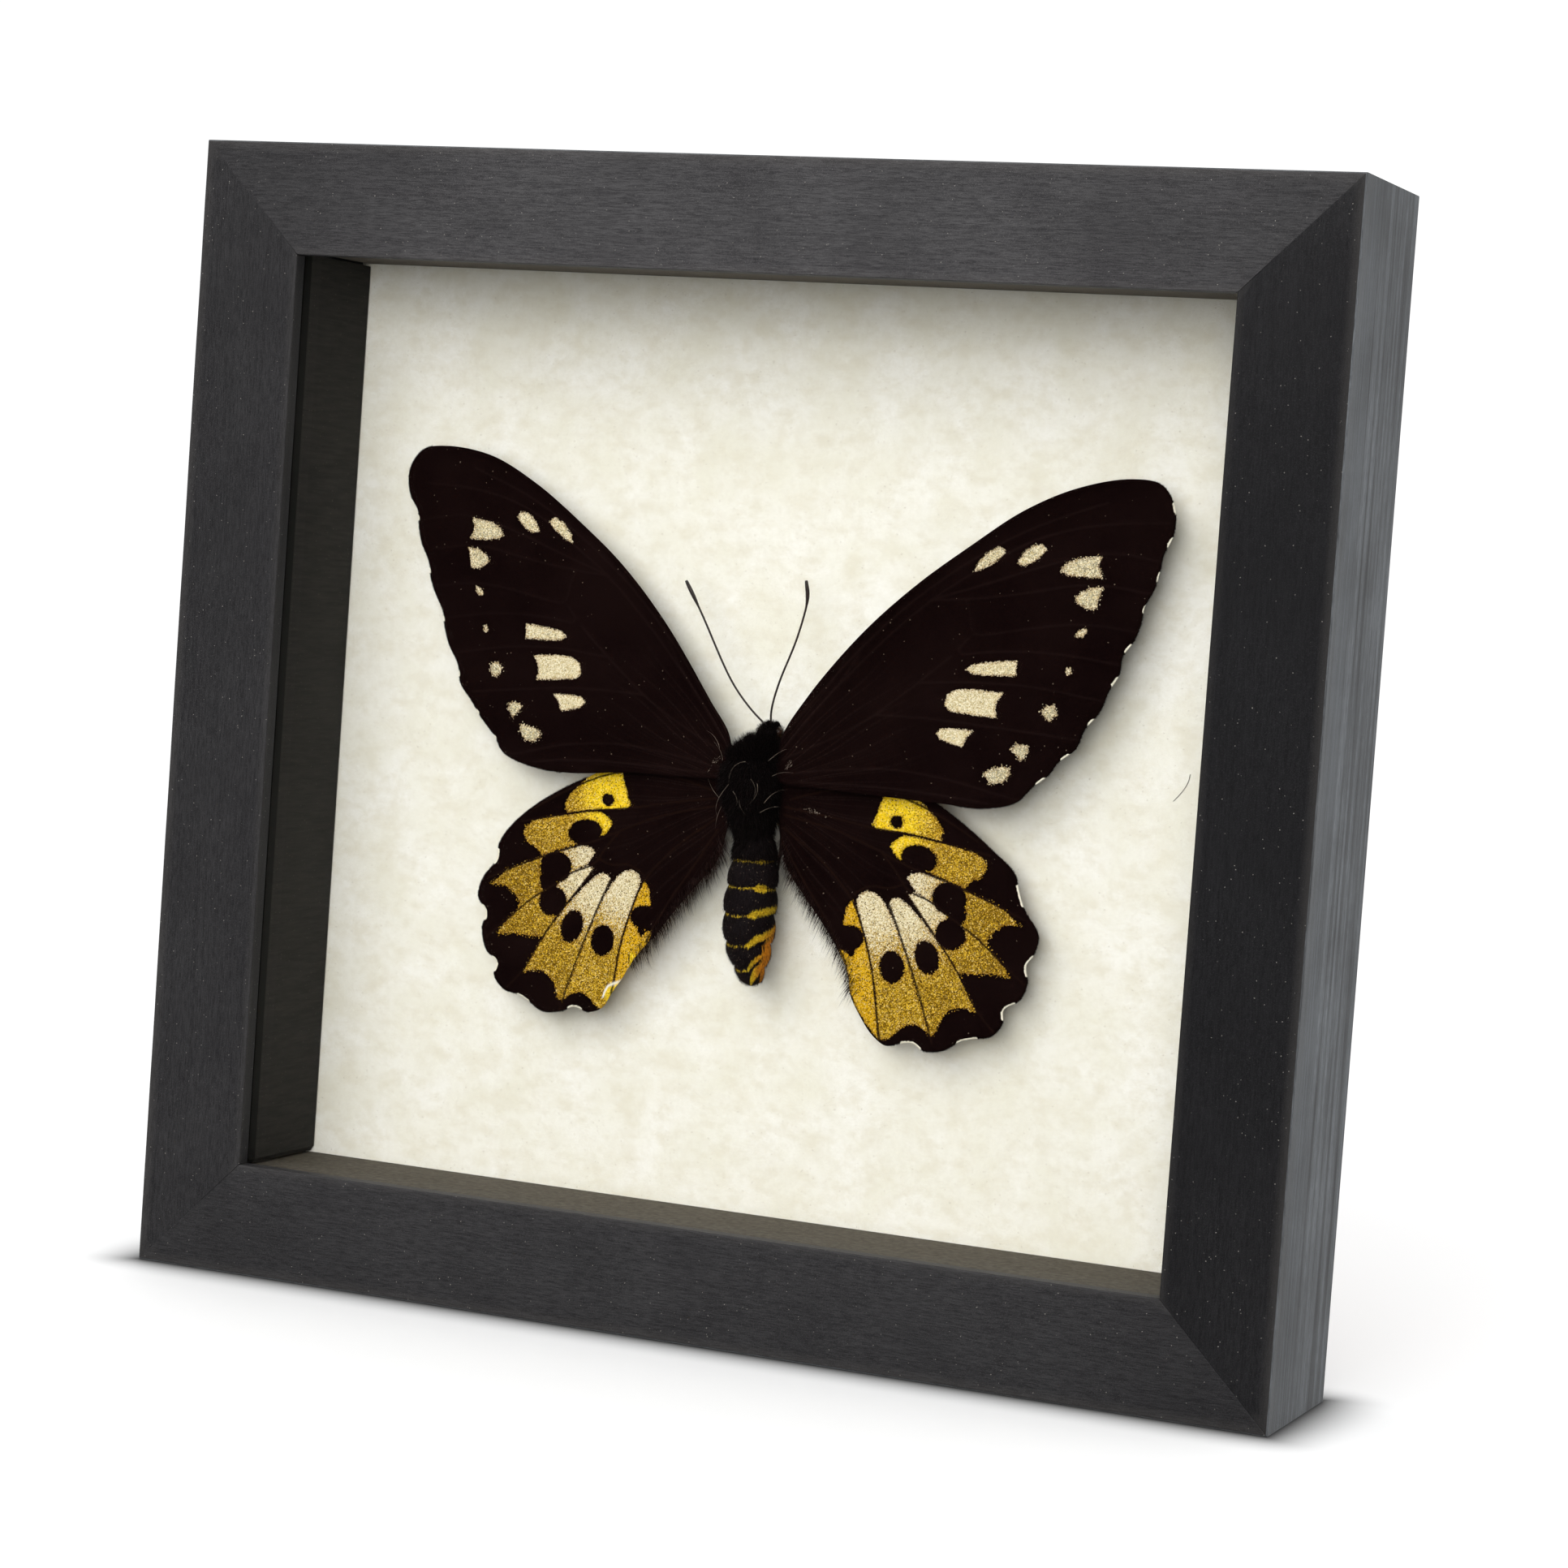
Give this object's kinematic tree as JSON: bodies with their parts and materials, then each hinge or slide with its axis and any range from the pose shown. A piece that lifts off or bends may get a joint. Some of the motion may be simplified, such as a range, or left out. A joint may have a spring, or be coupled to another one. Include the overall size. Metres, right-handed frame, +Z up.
{
  "type": "framed butterfly specimen",
  "caption": "Black and gold birdwing butterfly with spread wings, pinned in front of cream paper in a black wooden shadow box with a glass front and a toothed hanger behind.",
  "frame": {"origin": "middle of the box's footprint, on the surface that it stands on", "axes": "+Z up; the glass front faces -Y, the backing board +Y, and the viewer's left is -X"},
  "size_m": [0.23, 0.038, 0.219],
  "materials": {
    "frame_wood": "black stained wood, satin, with faint grain and tiny pale specks",
    "glass": "clear picture glass",
    "spacer_strip": "matt black stained strip",
    "paper": "cream parchment paper with soft mottling",
    "board": "brown hardboard",
    "steel_fittings": "plain zinc-plated steel",
    "forewing_scales": "matt brown-black wing scales with cream spots and raised veins",
    "hindwing_scales": "matt golden wing scales with dark dusting, veins and oval spots",
    "body_fur": "black fur",
    "abdomen": "dark segmented skin with yellow rings",
    "limbs": "black horny antennae and legs"
  },
  "bodies": {
    "root": {"abdomen": "abdomen", "antenna_left": "limbs", "antenna_right": "limbs", "backing_board": "board", "backing_paper": "paper", "fixing_point_bottom_1": "steel_fittings", "fixing_point_bottom_2": "steel_fittings", "fixing_point_left_1": "steel_fittings", "fixing_point_left_2": "steel_fittings", "fixing_point_right_1": "steel_fittings", "fixing_point_right_2": "steel_fittings", "fixing_point_top_1": "steel_fittings", "fixing_point_top_2": "steel_fittings", "forewing_left": "forewing_scales", "forewing_right": "forewing_scales", "frame_rail_bottom": "frame_wood", "frame_rail_left": "frame_wood", "frame_rail_right": "frame_wood", "frame_rail_top": "frame_wood", "glass_pane": "glass", "hanger": "steel_fittings", "hanger_nail_left": "steel_fittings", "hanger_nail_right": "steel_fittings", "head": "body_fur", "hindwing_left": "hindwing_scales", "hindwing_right": "hindwing_scales", "leg_front_left": "limbs", "leg_front_right": "limbs", "leg_middle_left": "limbs", "leg_middle_right": "limbs", "leg_rear_left": "limbs", "leg_rear_right": "limbs", "mounting_pin": "steel_fittings", "spacer_bottom": "spacer_strip", "spacer_left": "spacer_strip", "spacer_right": "spacer_strip", "spacer_top": "spacer_strip", "thorax": "body_fur"}
  },
  "joints": []
}
